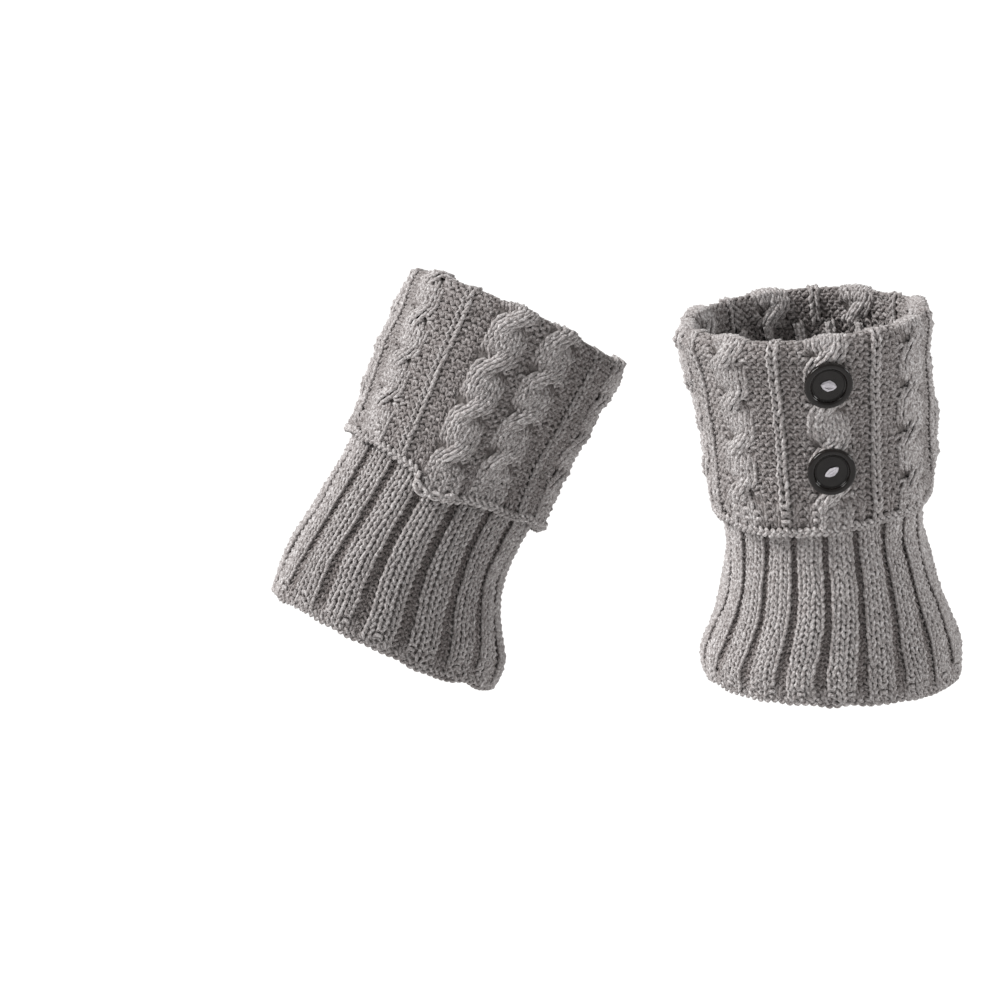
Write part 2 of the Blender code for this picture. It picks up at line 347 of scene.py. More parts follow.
def smooth_sections(table, heights):
    """Sections of a table at the given heights, on smooth curves through the table's own."""
    rows = np.array(sorted(table))
    level, values = rows[:, 0], rows[:, 1:]
    slopes = np.gradient(values, level, axis=0)
    k = np.clip(np.searchsorted(level, heights) - 1, 0, len(level) - 2)
    span = (level[k + 1] - level[k])[:, None]
    t = (np.clip(heights, level[0], level[-1]) - level[k])[:, None] / span
    return (
        (2 * t**3 - 3 * t**2 + 1) * values[k]
        + (t**3 - 2 * t**2 + t) * span * slopes[k]
        + (3 * t**2 - 2 * t**3) * values[k + 1]
        + (t**3 - t**2) * span * slopes[k + 1]
    )


class Wall:
    """One cloth wall as a path of sections, measured along the cloth from its lower edge."""

    def __init__(self, cuff, heights, sections, low, edge_drop):
        self.cuff = cuff
        self.table = np.column_stack([heights, sections, low])
        radius = (sections[:, 0] + sections[:, 1]) / 2.0
        steps = np.hypot(np.diff(radius), np.diff(heights))
        self.length = np.concatenate([[0.0], np.cumsum(steps)])
        self.edge_drop = edge_drop

    def place(self, share, along):
        """Points of the middle of the wall at shares of a turn and lengths along the cloth."""
        row = [np.interp(along, self.length, column) for column in self.table.T]
        height, depth, width, back, rise, low = row
        above = np.maximum(0.0, (height - TWIST_START) / (FOLD_TOP - TWIST_START))
        azimuth = np.radians(self.cuff["seam"] + 360.0 * share + self.cuff["twist"] * above)
        drop = low * self.edge_drop(self.cuff, share, azimuth)
        below = np.minimum(along, 0.0)  # the yarn reaches a little past the edge
        x = width * np.sin(azimuth)
        y = back - depth * np.cos(azimuth)
        z = height + rise * np.cos(azimuth) - drop + below
        return np.stack([x, y, z], axis=-1)

    def unevenness(self, share, along):
        """Soft dents and swells of worn cloth, the same on the rib and on the band over it."""
        height = np.interp(along, self.length, self.table[:, 0])
        start = self.cuff["seed"] / 7.0
        total = np.zeros(height.shape)
        for turns, length, size, first in SWELLS:
            phase = turns * share + height / length + first + start
            total += size * np.sin(2.0 * math.pi * phase)
        return total

    def surface(self, share, along, relief):
        """Points at a relief over the wall, and the wall's outward normals there."""
        relief = relief + self.unevenness(share, along)
        point = self.place(share, along)
        across = self.place(share + NORMAL_TURN, along) - self.place(share - NORMAL_TURN, along)
        up = self.place(share, along + NORMAL_STEP) - self.place(share, along - NORMAL_STEP)
        normal = unit(np.cross(across, up))
        return point + relief[..., None] * normal, normal

    def girth(self, along):
        """Rough length of one turn at a length along the cloth."""
        depth = np.interp(along, self.length, self.table[:, 1])
        width = np.interp(along, self.length, self.table[:, 2])
        return 2.0 * math.pi * np.sqrt((depth**2 + width**2) / 2.0)

    def along_at(self, height):
        """Length along the cloth at a height of its outer side."""
        outer = np.argmax(self.table[:, 0]) + 1
        return float(np.interp(height, self.table[:outer, 0], self.length[:outer]))


def droop_at(cuff, azimuth):
    """How much of its droop the cloth has at an azimuth, from 0 to 1."""
    return np.maximum(0.0, np.cos(azimuth - math.radians(cuff["droop_azimuth"])))


def hem_drop(cuff, share, azimuth):
    """How far the hem hangs below its section."""
    return cuff["droop"] * droop_at(cuff, azimuth)


def band_drop(cuff, share, azimuth):
    """How far the band's edge hangs below its section: its droop, and the step beside the seam."""
    turn = np.mod(share, 1.0)
    step = SEAM_STEP * (1.0 - smooth_step((turn - STEP_FLAT) / STEP_RUN))
    dip = SEAM_DIP * np.exp((turn - 1.0) / DIP_RUN)
    return cuff["droop"] * droop_at(cuff, azimuth) + step + dip


def rib_wall(cuff):
    """The ribbed tube from its hem up to the join under the fold."""
    hem = cuff["rib"][0][0]
    heights = np.linspace(hem, JOIN_HEIGHT, RIB_SECTIONS)
    low = np.clip(heights / hem, 0.0, 1.0)
    return Wall(cuff, heights, smooth_sections(cuff["rib"], heights), low, hem_drop)


def band_wall(cuff):
    """The band from its edge up, over the fold, and a little way down inside."""
    edge = cuff["band"][-1][0]
    outer_heights = np.linspace(edge, FOLD_SPRING, BAND_SECTIONS)
    outer = smooth_sections(cuff["band"], outer_heights)
    inner_heights = np.linspace(FOLD_SPRING, JOIN_HEIGHT - INNER_REACH, INNER_SECTIONS)[1:]
    inner = smooth_sections(cuff["rib"], inner_heights)
    turn = np.linspace(0.0, math.pi, FOLD_SECTIONS)[1:]
    share = ((1.0 - np.cos(turn)) / 2.0)[:, None]
    fold = outer[-1] + share * (inner[0] - outer[-1])
    fold_heights = FOLD_SPRING + (FOLD_TOP - FOLD_SPRING) * np.sin(turn)
    heights = np.concatenate([outer_heights, fold_heights, inner_heights])
    low = np.clip((FOLD_SPRING - heights) / (FOLD_SPRING - edge), 0.0, 1.0)
    low[len(outer_heights) :] = 0.0
    return Wall(cuff, heights, np.concatenate([outer, fold, inner]), low, band_drop)


# --- Stitch patterns ---
def band_stripes():
    """The band's stripes from its seam: name, start and size in stripe units, and wales."""
    stripes, start = [], 0.0
    for name, size, wales in SEAM_STRIPES + REPEATS * REPEAT_STRIPES:
        stripes.append((name, start, size, wales))
        start += size
    return stripes, start


def strands_at(v, crossing):
    """Offset of one strand of a cable as a share of its reach, and its lift, at courses v."""
    periods = (v - crossing) / CABLE_PERIOD
    nearest = np.round(periods)
    away = np.clip((periods - nearest) * CABLE_PERIOD / CROSSING_RUN, -1.0, 1.0)
    turned = np.where(np.mod(nearest, 2.0) == 0.0, 1.0, -1.0)
    return -turned * np.sin(0.5 * math.pi * away), turned * np.cos(0.5 * math.pi * away)


def cable_wale(k, count, width, middle, order, reach, lift):
    """Centre and relief of the kth wale of a cable, on the strand that carries it."""
    side = -1.0 if k < count / 2 else 1.0
    place = k % (count // 2) - 1  # in its strand
    height = -side * order * lift
    spread = width * (1.0 + CABLE_SPREAD * np.maximum(0.0, height))
    centre = middle + side * order * CABLE_REACH * reach + place * spread
    strand = STRAND_ROUND * (STRAND_LEVEL - abs(place)) * np.abs(lift)
    across = 2.0 * k / (count - 1) - 1.0
    whole = CABLE_ROUND * (1.0 - across**2) * (1.0 - np.abs(lift))
    return centre, CABLE_LIFT * height + strand + whole - CABLE_SINK


def edge_rib(side, course, courses):
    """The stitches of each course, the lowest ones in one-by-one rib."""
    side = np.repeat(side[None, :], len(course), axis=0)
    side[np.ravel(course) < courses] = np.where(np.arange(WALES) % 2 == 0, 1.0, -1.0)
    return side


class CablePattern:
    """Where each wale of the band runs, how high it stands, and which side of a stitch it shows."""

    def __init__(self, cuff):
        self.cuff = cuff
        self.stripes, self.units = band_stripes()

    def cable_middle(self, number):
        """Share of a turn at the middle of a cable, counted from the one beside the seam."""
        middles = [start + size / 2.0 for name, start, size, _ in self.stripes if name == "cable"]
        return middles[1 + number] / self.units

    def crossing_of(self, turn):
        """The course of a cable's lowest crossing, higher away from where the cloth droops."""
        azimuth = self.cuff["seam"] + 360.0 * turn
        away = (azimuth - self.cuff["droop_azimuth"] + 180.0) % 360.0 - 180.0
        return self.cuff["crossing"] + self.cuff["climb"] * min(1.0, abs(away) / CLIMB_RUN)

    def wales_at(self, course, v):
        """Centre of each wale in shares of a turn and its relief, at places v of each course."""
        centre = np.zeros((*v.shape, WALES))
        relief = np.zeros((*v.shape, WALES))
        start_v, full_v = EDGE_FADE
        full = smooth_step((v - start_v) / (full_v - start_v))
        names = [stripe[0] for stripe in self.stripes]
        wale = 0
        for i, (name, start, size, count) in enumerate(self.stripes):
            middle, width = start + size / 2.0, size / count
            crossing = self.crossing_of(middle / self.units)
            reach, lift = strands_at(v, crossing)
            order = np.where(strands_at(course, crossing)[0] >= 0.0, 1.0, -1.0)
            pinch = np.clip(1.0 - np.abs(reach), 0.0, 1.0) * full
            beside = (names[i - 1] == "cable", names[(i + 1) % len(names)] == "cable")
            for k in range(count):
                even, rise = start + (k + 0.5) * width, 0.0
                centre[..., wale] = even
                if name == "cable":
                    place, rise = cable_wale(k, count, width, middle, order, reach, lift)
                    centre[..., wale] += full * (place - even)
                    rise = full * rise
                if name == "ground":
                    before = (count - k - 0.5) / count * beside[0]
                    after = (k + 0.5) / count * beside[1]
                    centre[..., wale] += GROUND_PULL * CABLE_REACH * (after - before) * pinch
                    rise = GROUND_RISE * max(before, after) ** 3 * pinch
                relief[..., wale] = RELIEF[name] + rise
                wale += 1
        return centre / self.units, relief

    def widths(self, v):
        """Width of each wale in shares of a turn."""
        width = [size / count for _, _, size, count in self.stripes for _ in range(count)]
        return np.broadcast_to(np.array(width) / self.units, (*v.shape, WALES))

    def sides(self, course):
        """1 for a knit stitch and -1 for a purl one, for each course and wale."""
        names = [name for name, _, _, count in self.stripes for _ in range(count)]
        side = np.array([1.0 if name in ("cable", "line") else -1.0 for name in names])
        return edge_rib(side, course, EDGE_COURSES)


class RibPattern:
    """Ribs of three knit and two purl wales. The purl ones fold away where nothing pulls."""

    def __init__(self, cuff, wall):
        self.wall = wall
        turn = (cuff["groove"] - cuff["seam"]) / 360.0
        knit = RIB_KNIT / RIB_WALES
        self.shift = (turn - (knit + 1.0) / 2.0 / RIBS) % (1.0 / RIBS)
        self.open = turn  # where the ribs are widest, when they aren't even
        self.gather = cuff["gather"]

    def knit_share(self, v):
        """Share of a rib that its knit wales take."""
        rib = self.wall.girth(v * RIB_PITCH) / RIBS
        return np.clip(RIB_KNIT_WIDTH / rib, RIB_OPEN, RIB_CLOSED)

    def wales_at(self, course, v):
        """As in the cable pattern, and the same for every course."""
        knit = self.knit_share(v)[..., None]
        wale = np.arange(WALES)
        rib, place = wale // RIB_WALES, wale % RIB_WALES
        in_knit = (place + 0.5) / RIB_KNIT * knit
        in_purl = knit + (place - RIB_KNIT + 0.5) / (RIB_WALES - RIB_KNIT) * (1.0 - knit)
        centre = self.shift + (rib + np.where(place < RIB_KNIT, in_knit, in_purl)) / RIBS
        around = 2.0 * math.pi * (centre - self.open)
        centre = centre + self.gather * np.sin(around) / (2.0 * math.pi)
        height = np.where(place == 1, RIB_RELIEF["middle"], RIB_RELIEF["side"])
        opened = np.clip((RIB_CLOSED - knit) / (RIB_CLOSED - RIB_OPENED), 0.0, 1.0)
        near_hem = np.exp(-np.maximum(v, 0.0) / HEM_RUN)[..., None]
        purl = RIB_RELIEF["purl"] * (1.0 - OPENED_GROOVE * opened) * (1.0 - HEM_GROOVE * near_hem)
        return centre, np.where(place < RIB_KNIT, height, purl)

    def widths(self, v):
        """Width of each wale in shares of a turn."""
        knit = self.knit_share(v)[..., None]
        place = np.arange(WALES) % RIB_WALES
        purl = (1.0 - knit) / (RIB_WALES - RIB_KNIT)
        return np.where(place < RIB_KNIT, knit / RIB_KNIT, purl) / RIBS

    def sides(self, course):
        """1 for a knit stitch and -1 for a purl one, for each course and wale."""
        side = np.where(np.arange(WALES) % RIB_WALES < RIB_KNIT, 1.0, -1.0)
        return edge_rib(side, course, HEM_COURSES)


# --- Yarn ---
def wrap(values, turn=0.0):
    """The last axis extended by one wale at each end of the turn."""
    return np.concatenate([values[..., -1:] - turn, values, values[..., :1] + turn], axis=-1)


def loop_paths(wall, pattern, pitch, courses, first, samples, buttons, seed):
    """Centre lines of the yarn, course by course, and the wall's normals along them."""
    course = first + np.arange(courses, dtype=float)
    t = 2.0 * math.pi * np.arange(samples) / samples
    v = course[:, None] - LOOP_HALF * np.cos(t)[None, :]
    centre, relief = pattern.wales_at(course[:, None], v)  # courses, samples, wales
    centre, relief, width = wrap(centre, 1.0), wrap(relief), wrap(pattern.widths(v))
    side = wrap(pattern.sides(course))[:, None, :]
    s = (t / (2.0 * math.pi) - 0.5)[None, :, None]  # place between this wale and the next ones
    near = np.abs(s)

    def between(values, amount):
        other = np.where(s < 0.0, values[..., :-2], values[..., 2:])
        return (1.0 - amount) * values[..., 1:-1] + amount * other

    blend = 0.5 * np.clip((near - LOOP_OWN) / (0.5 - LOOP_OWN), 0.0, 1.0)
    share = between(centre, near)
    sway = LOOP_SWAY * between(width, near) * np.sin(2.0 * t)[None, :, None]
    height = between(relief, blend)
    height = height - LOOP_DEPTH * between(side, blend) * np.cos(2.0 * t)[None, :, None]
    order = (0, 2, 1)  # courses, wales, samples, so that the yarn runs on from wale to wale
    share = (share + sway).transpose(order).reshape(courses, -1)
    height = height.transpose(order).reshape(courses, -1)
    along = np.repeat(v[:, None, :], WALES, axis=1).reshape(courses, -1)
    along = (along + FIRST_COURSE) * pitch
    jitter = smooth_noise((courses, share.shape[1]), samples, seed)
    height = height + UNEVEN * jitter[0]
    along = along + UNEVEN_SIDEWAYS * jitter[1]
    share = share + UNEVEN_SIDEWAYS * jitter[2] / ROUGH_GIRTH
    points, normals = wall.surface(share, along, height)
    for button in buttons:
        points, height = button.press(points, height)
    middle = between(relief, blend).transpose(order).reshape(courses, -1)
    return points, normals, height, middle


def smooth_noise(shape, run, seed):
    """Three fields of noise that is even along the yarn for about the length of a stitch."""
    noise = np.random.default_rng(seed).normal(size=(3, *shape))
    kernel = np.hanning(run + 2)[1:-1]
    spectrum = np.fft.rfft(noise, axis=-1) * np.fft.rfft(kernel / np.linalg.norm(kernel), shape[1])
    return np.fft.irfft(spectrum, shape[1], axis=-1)


def tubes(paths, normals, radius, sides):
    """Points and faces of closed tubes along the rows of paths, and a map for their faces."""
    rows, count = paths.shape[:2]
    tangent = unit(np.roll(paths, -1, axis=1) - np.roll(paths, 1, axis=1))
    across = unit(np.cross(tangent, normals))
    out = np.cross(across, tangent)
    angle = 2.0 * math.pi * np.arange(sides) / sides
    c, s = np.cos(angle)[:, None], np.sin(angle)[:, None]
    points = paths[..., None, :] + radius * (c * out[..., None, :] + s * across[..., None, :])
    index = np.arange(rows * count * sides).reshape(rows, count, sides)
    after, beside = np.roll(index, -1, axis=1), np.roll(index, -1, axis=2)
    faces = np.stack([index, beside, np.roll(beside, -1, axis=1), after], axis=-1)
    row, place, edge = np.indices((rows, count, sides))
    low_u, high_u = place / count, (place + 1) / count
    low_v = (row + MAP_FILL * edge / sides) / rows
    high_v = (row + MAP_FILL * (edge + 1) / sides) / rows
    corners = [(low_u, low_v), (low_u, high_v), (high_u, high_v), (high_u, low_v)]
    uv = np.stack([np.stack(corner, axis=-1) for corner in corners], axis=-2)
    return points.reshape(-1, 3), faces.reshape(-1, 4), uv.reshape(-1, 2)


def grid_shell(points, normals, wall):
    """Points and faces of a closed thin wall round a grid whose rows are closed rings."""
    rows, columns = points.shape[:2]
    sheets = np.stack([points + 0.5 * wall * normals, points - 0.5 * wall * normals])
    index = np.arange(2 * rows * columns).reshape(2, rows, columns)
    after = np.roll(index, -1, axis=2)
    outer = np.stack([index[0, :-1], after[0, :-1], after[0, 1:], index[0, 1:]], axis=-1)
    inner = np.stack([index[1, :-1], index[1, 1:], after[1, 1:], after[1, :-1]], axis=-1)
    bottom = np.stack([index[0, 0], index[1, 0], after[1, 0], after[0, 0]], axis=-1)
    top = np.stack([index[0, -1], after[0, -1], after[1, -1], index[1, -1]], axis=-1)
    faces = [part.reshape(-1, 4) for part in (outer, inner, bottom, top)]
    return sheets.reshape(-1, 3), np.concatenate(faces)


def lean_of(cuff):
    """The turn from a cuff's own frame to the row frame."""
    c, s = cos_sin(cuff["lean"])
    return np.array([[1.0, 0.0, 0.0], [0.0, c, s], [0.0, -s, c]])


def into_row_frame(cuff, points):
    """Points of a cuff's own frame, in the row frame and in metres."""
    return (points @ lean_of(cuff).T + np.array(cuff["waist"])) * MM


def out_of_row_frame(cuff, points):
    """Points of the row frame in metres, in a cuff's own frame."""
    return (np.asarray(points) / MM - np.array(cuff["waist"])) @ lean_of(cuff)


def add_object(name, data):
    """An object of the scene that shows the data."""
    piece = bpy.data.objects.new(name, data)
    bpy.context.scene.collection.objects.link(piece)
    return piece


def add_piece(name, points, faces, material, uv=None):
    """A smooth mesh object in the row frame."""
    mesh = bpy.data.meshes.new(name)
    mesh.from_pydata(points.tolist(), [], faces)
    mesh.polygons.foreach_set("use_smooth", np.ones(len(faces), dtype=bool))
    if uv is not None:
        layer = mesh.uv_layers.new(name="OFBake")
        layer.data.foreach_set("uv", uv.astype(np.float32).ravel())
    mesh.materials.append(material)
    mesh.update()
    return add_object(name, mesh)


# --- Buttons ---
def button_profile():
    """Radius and height along a half section, from the middle of the dish round to the back."""
    rim = (BUTTON_RADIUS - BUTTON_DISH) / 2.0
    points = [(0.0, BUTTON_FLOOR)]
    for turn in (-90.0, -45.0, 0.0, 45.0, 90.0):
        c, s = cos_sin(turn)
        points.append((BUTTON_STEP + GROOVE_HALF * s, BUTTON_FLOOR - GROOVE_DEPTH * c))
    points.append((BUTTON_DISH - GROOVE_HALF, BUTTON_FLOOR + DISH_LIP))
    for step in range(RIM_STEPS + 1):
        turn = math.pi * (1.0 - step / RIM_STEPS)
        radius = BUTTON_RADIUS - rim + rim * math.cos(turn)
        points.append((radius, BUTTON_THICK - BUTTON_SWELL + BUTTON_SWELL * math.sin(turn)))
    return points + [(BUTTON_RADIUS, BUTTON_EDGE), (BUTTON_BACK, 0.0), (0.0, 0.0)]


def hole_cutter(x):
    """A cylinder through a sewing hole."""
    mesh = bpy.data.meshes.new("hole")
    cage = bmesh.new()
    bmesh.ops.create_cone(
        cage,
        cap_ends=True,
        segments=HOLE_SIDES,
        radius1=HOLE_RADIUS,
        radius2=HOLE_RADIUS,
        depth=4.0 * BUTTON_THICK,
        matrix=Matrix.Translation((x, 0.0, 0.0)),
    )
    cage.to_mesh(mesh)
    cage.free()
    return add_object("hole", mesh)


def button_mesh():
    """Points and faces of a turned button with its two holes."""
    mesh = bpy.data.meshes.new("blank")
    profile = button_profile()
    edges = [(i, i + 1) for i in range(len(profile) - 1)]
    mesh.from_pydata([(r, 0.0, z) for r, z in profile], edges, [])
    blank = add_object("blank", mesh)
    screw = blank.modifiers.new("turn", "SCREW")
    screw.steps = screw.render_steps = BUTTON_SIDES
    screw.use_merge_vertices = True
    screw.use_normal_calculate = True
    cutters = [hole_cutter(side * HOLE_SPACING / 2.0) for side in (-1.0, 1.0)]
    for cutter in cutters:
        cut = blank.modifiers.new("hole", "BOOLEAN")
        cut.operation = "DIFFERENCE"
        cut.solver = "EXACT"
        cut.object = cutter
    result = blank.evaluated_get(bpy.context.evaluated_depsgraph_get()).to_mesh()
    points = np.array([vertex.co for vertex in result.vertices])
    faces = [list(face.vertices) for face in result.polygons]
    for piece in (blank, *cutters):
        bpy.data.objects.remove(piece)
    return points, faces


class Button:
    """A button on the band, and the thread that holds it, where the frame has it."""

    def __init__(self, side, cuff, wall, pattern, place, height, turn, fan):
        self.name = f"{side}_{place}"
        low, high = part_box(f"{self.name}_button")
        share, along = pattern.cable_middle(cuff["button_cable"]), wall.along_at(height)
        across = wall.place(share + BUTTON_TURN, along) - wall.place(share - BUTTON_TURN, along)
        up = wall.place(share, along + BUTTON_BACK) - wall.place(share, along - BUTTON_BACK)
        out = unit(np.cross(across, up))
        across = unit(np.cross([0.0, 0.0, 1.0], out))
        up = np.cross(out, across)
        c, s = cos_sin(turn)
        self.axes = np.array([c * across + s * up, c * up - s * across, out])
        self.seat = out_of_row_frame(cuff, (low + high) / 2.0) - 0.5 * BUTTON_THICK * out
        self.fan = fan
        self.seed = cuff["seed"] + int(height)

    def press(self, points, height):
        """Points of yarn, and their heights over the wall, pushed in behind the button."""
        local = (points - self.seat) @ self.axes.T
        away = np.hypot(local[..., 0], local[..., 1])
        limit = PRESS_SLOPE * np.maximum(0.0, away - BUTTON_BACK) - PRESS_GAP
        push = np.maximum(0.0, local[..., 2] - limit)
        return points - push[..., None] * self.axes[2], height - push

    def thread_paths(self):
        """Loops of thread through both holes, fanned out into a lozenge over the dish."""
        random = np.random.default_rng(self.seed)
        angle = 2.0 * math.pi * np.arange(THREAD_SAMPLES) / THREAD_SAMPLES
        over, through = np.maximum(0.0, np.sin(angle)), np.sqrt(np.abs(np.cos(angle)))
        paths = []
        for strand in range(THREAD_STRANDS):
            fan = 2.0 * strand / (THREAD_STRANDS - 1) - 1.0
            uneven = random.uniform(-1.0, 1.0, 3) * THREAD_UNEVEN
            reach = HOLE_SPACING / 2.0 + (THREAD_REACH + uneven[0]) * over
            rise = THREAD_RISE * (THREAD_CROWN[0] - THREAD_CROWN[1] * fan * fan) + uneven[1]
            lift = np.where(np.sin(angle) > 0.0, rise, THREAD_DEPTH) * np.sin(angle)
            x = reach * np.sign(np.cos(angle)) * through
            narrow = 1.0 - (np.abs(x) / np.abs(x).max()) ** THREAD_TAPER
            y = self.fan * fan * np.where(over > 0.0, narrow, 0.0) + uneven[2]
            paths.append(np.stack([x, y, BUTTON_FLOOR - THREAD_SINK + lift], axis=-1))
        return np.stack(paths)

    def build(self, cuff, materials):
        """The button over its CAD solid, and its thread."""
        points, faces = button_mesh()
        place = into_row_frame(cuff, self.seat + points @ self.axes)
        button = add_piece(f"{self.name}_button_face", place, faces, materials["plastic"])
        button.data.set_sharp_from_angle(angle=math.radians(SHARP_ANGLE))
        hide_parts(f"{self.name}_button")
        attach(button, "root")
        paths = self.thread_paths()
        sideways = np.broadcast_to([0.0, 1.0, 0.0], paths.shape)
        points, faces, uv = tubes(paths, sideways, THREAD_RADIUS, THREAD_SIDES)
        place = into_row_frame(cuff, self.seat + points @ self.axes)
        thread = add_piece(f"{self.name}_thread", place, faces.tolist(), materials["thread"], uv)
        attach(thread, "root")


# --- Cuffs ---
def painted_shade(height, middle, sides):
    """Painted shade: how open to the light each point of the yarn is, from 0 deep in the cloth to 1
    on its top.
    """
    ring = YARN_RADIUS * np.cos(2.0 * math.pi * np.arange(sides) / sides)
    level = height[..., None] + ring
    behind = level < middle[..., None] + BACKING_DEPTH  # on the side towards the leg
    level = np.where(behind, INNER_LEVEL - level, level)
    return np.clip((level - DEEPEST) / (OPEN_LEVEL - DEEPEST), 0.0, 1.0)


def add_strands(name, cuff, strands, radius, sides, material):
    """Yarn along its centre lines, from points, normals, heights and the height of the cloth."""
    paths, normals, height, middle = strands
    points, faces, uv = tubes(paths, normals, radius, sides)
    piece = add_piece(name, into_row_frame(cuff, points), faces.tolist(), material, uv)
    # Painted shade: how deep in the cloth each point of the yarn lies, kept for darkening its
    # colour
    shade = painted_shade(height, middle, sides).astype(np.float32)
    piece.data.attributes.new("painted_shade", "FLOAT", "POINT").data.foreach_set("value", shade.ravel())
    return piece


def loose_strands(wall, places):
    """Centre lines that lie on the cloth, from rows of shares, lengths along it and heights."""
    share, along, height = (np.stack(column) for column in zip(*places))
    points, normals = wall.surface(share, along, height)
    return points, normals, height, height


def add_yarn(name, cuff, wall, pattern, rows, sides, material, buttons=()):
    """A stretch of knitting: the pitch, number and first of its courses, and points to a loop."""
    loops = loop_paths(wall, pattern, *rows, buttons, cuff["seed"])
    return add_strands(name, cuff, loops, YARN_RADIUS, sides, material)


def add_edge_chain(name, cuff, wall, along, relief, material):
    """The cast-off edge: two strands side by side, coiled opposite ways like a chain stitch."""
    count = EDGE_LINKS * EDGE_SAMPLES
    share = np.arange(count) / count
    noise = smooth_noise((1, count), WAVER_LINKS * EDGE_SAMPLES, cuff["seed"] + 1)
    waver = EDGE_WAVER * noise[:2, 0]
    places = []
    for strand in (-1.0, 1.0):
        angle = 2.0 * math.pi * EDGE_LINKS * share * strand
        place = along + strand * EDGE_SPREAD + EDGE_TWIST * np.cos(angle) + waver[0]
        places.append((share, place, relief + EDGE_TWIST * np.sin(angle) + WAVER_LIFT * waver[1]))
    return add_strands(name, cuff, loose_strands(wall, places), EDGE_RADIUS, EDGE_SIDES, material)


def add_seam_knot(name, cuff, wall, material):
    """The end of the yarn, looped and knotted at the lower corner beside the band's seam."""
    angle = 2.0 * math.pi * np.arange(KNOT_SAMPLES) / KNOT_SAMPLES
    places = []
    for share, along, height, half_width, half_height, lean in KNOT_LOOPS:
        x, y = half_width * np.cos(angle), half_height * np.sin(angle)
        c, s = cos_sin(lean)
        across, place = x * c - y * s, along + x * s + y * c
        lift = height + KNOT_LIFT * np.sin(2.0 * angle)
        places.append((share + across / wall.girth(along), place, lift))
    return add_strands(name, cuff, loose_strands(wall, places), YARN_RADIUS, KNOT_SIDES, material)


def add_backing(name, cuff, wall, relief_at, end, rows, material):
    """The thin wall behind the yarn, up to a length along the cloth."""
    share = np.arange(BACKING_COLUMNS) / BACKING_COLUMNS
    share, along = np.meshgrid(share, np.linspace(BACKING_START, end, rows))
    points, normals = wall.surface(share, along, relief_at(share, along))
    points, faces = grid_shell(points, normals, BACKING_WALL)
    return add_piece(name, into_row_frame(cuff, points), faces.tolist(), material)


def band_relief(pattern):
    """Where the band's backing lies, as a function of place. It doesn't follow the crossings."""
    middles, heights = [], []
    for name, start, size, count in pattern.stripes:
        for k in range(count):
            middles.append((start + (k + 0.5) * size / count) / pattern.units)
            deeper = CABLE_BACKING if name == "cable" else 0.0
            heights.append(RELIEF[name] + BACKING_DEPTH - deeper)

    def relief_at(share, along):
        return np.interp(np.mod(share, 1.0), middles, heights, period=1.0)

    return relief_at


def rib_relief(pattern):
    """Where the ribs' backing lies, as a function of place."""

    def relief_at(share, along):
        centre, relief = pattern.wales_at(None, along[:, 0] / RIB_PITCH - FIRST_COURSE)
        rows = [np.interp(share[i], centre[i], relief[i], period=1.0) for i in range(len(share))]
        hidden = np.clip(along / RIB_PITCH - RIB_COURSES + 1.0, 0.0, 1.0)
        depth = BACKING_DEPTH + (LINING_BACKING - BACKING_DEPTH) * hidden
        return np.array(rows) * (1.0 - LINING_FLATTER * hidden) + depth

    return relief_at


def declare_sheet(backing, yarns, node):
    """A stretch of cloth: its CAD wall hidden for the backing that stands for it, and the backing
    and its yarns attached to the root.
    """
    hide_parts(node)
    for piece in (backing, *yarns):
        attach(piece, "root")


def add_band(side, cuff, wall, cables, buttons, materials):
    """The cable band from its edge over the fold."""
    yarn, backing, length = materials["yarn"], materials["backing"], BAND_COURSES * BAND_PITCH
    rows = (BAND_PITCH, BAND_COURSES, 0.0, YARN_SAMPLES)
    knit = add_yarn(f"{side}_band_yarn", cuff, wall, cables, rows, YARN_SIDES, yarn, buttons)
    edge = add_edge_chain(f"{side}_band_edge", cuff, wall, *BAND_EDGE, yarn)
    knot = add_seam_knot(f"{side}_seam_knot", cuff, wall, yarn)
    relief, rows = band_relief(cables), BAND_BACKING_ROWS
    back = add_backing(f"{side}_band_backing", cuff, wall, relief, length, rows, backing)
    declare_sheet(back, [knit, edge, knot], f"{side}_cable_band")


def add_rib(side, cuff, wall, ribs, materials):
    """The ribbed tube, coarser above the band's edge, where only its inner side shows."""
    yarn, backing = materials["yarn"], materials["backing"]
    length = (RIB_COURSES + LINING_COURSES) * RIB_PITCH
    rows = (RIB_PITCH, RIB_COURSES, 0.0, YARN_SAMPLES)
    knit = add_yarn(f"{side}_rib_yarn", cuff, wall, ribs, rows, YARN_SIDES, yarn)
    rows = (RIB_PITCH, LINING_COURSES, RIB_COURSES, LINING_SAMPLES)
    lining = add_yarn(f"{side}_lining_yarn", cuff, wall, ribs, rows, LINING_SIDES, yarn)
    edge = add_edge_chain(f"{side}_hem_edge", cuff, wall, *HEM_EDGE, yarn)
    relief, rows = rib_relief(ribs), RIB_BACKING_ROWS
    back = add_backing(f"{side}_rib_backing", cuff, wall, relief, length, rows, backing)
    declare_sheet(back, [knit, lining, edge], f"{side}_rib_tube")


def add_cuff(side, cuff, materials):
    """One cuff: its buttons, its band and its rib."""
    band, rib = band_wall(cuff), rib_wall(cuff)
    cables, ribs = CablePattern(cuff), RibPattern(cuff, rib)
    buttons = [Button(side, cuff, band, cables, *place) for place in cuff["buttons"]]
    for button in buttons:
        button.build(cuff, materials)
    add_band(side, cuff, band, cables, buttons, materials)
    add_rib(side, cuff, rib, ribs, materials)
